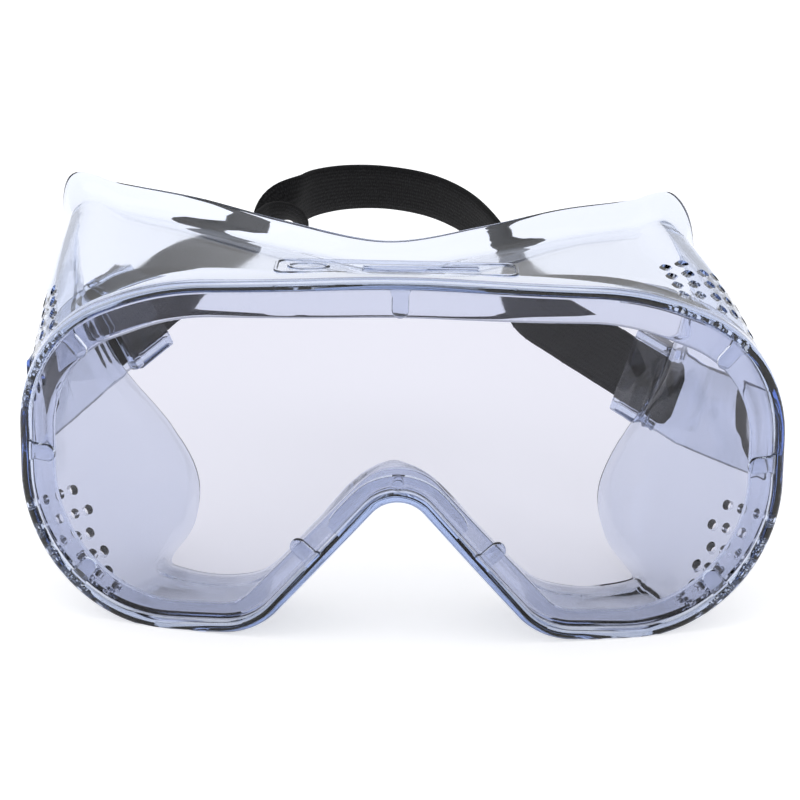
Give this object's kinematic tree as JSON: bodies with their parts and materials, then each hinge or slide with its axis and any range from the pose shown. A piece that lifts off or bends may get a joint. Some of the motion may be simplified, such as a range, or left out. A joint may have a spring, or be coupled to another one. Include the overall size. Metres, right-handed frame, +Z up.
{
  "type": "safety goggles",
  "caption": "Clear direct-vent safety goggles: a soft moulded body holds a bowed lens, with an elastic headband that swings at the temple arms.",
  "frame": {"origin": "middle of the footprint at the height of the surface the goggles stand on", "axes": "+X to the right as seen from the front, +Y from the lens back to the headband, +Z up"},
  "size_m": [0.1618, 0.1752, 0.0889],
  "materials": {
    "body": "clear soft PVC, faint blue tint",
    "lens": "clear polycarbonate",
    "strap": "woven elastic"
  },
  "bodies": {
    "goggle_body": {"front_rim": "body", "label_plaque": "body", "lens": "lens", "lens_lug_brow_left": "body", "lens_lug_brow_right": "body", "lens_lug_lobe_left": "body", "lens_lug_lobe_right": "body", "lens_lug_nose_arch": "body", "lens_lug_nose_left": "body", "lens_lug_nose_right": "body", "lens_lug_side_left": "body", "lens_lug_side_right": "body", "lens_lug_top": "body", "strap_crossbar_left": "body", "strap_crossbar_right": "body", "strap_end_left": "strap", "strap_end_right": "strap", "strap_sleeve_left": "body", "strap_sleeve_right": "body", "temple_arm_left": "body", "temple_arm_right": "body", "wall_brow": "body", "wall_cheek_left": "body", "wall_cheek_right": "body", "wall_nose": "body", "wall_temple_left": "body", "wall_temple_right": "body"},
    "headband": {"headband": "strap"}
  },
  "joints": [
    {"name": "headband_swing", "type": "hinge", "parent": "goggle_body", "child": "headband", "pos_m": [-0.00433, 0.00301, 0.04779], "axis": [0.9882, 0.0063, -0.1532], "range_deg": [-25, 60]}
  ]
}
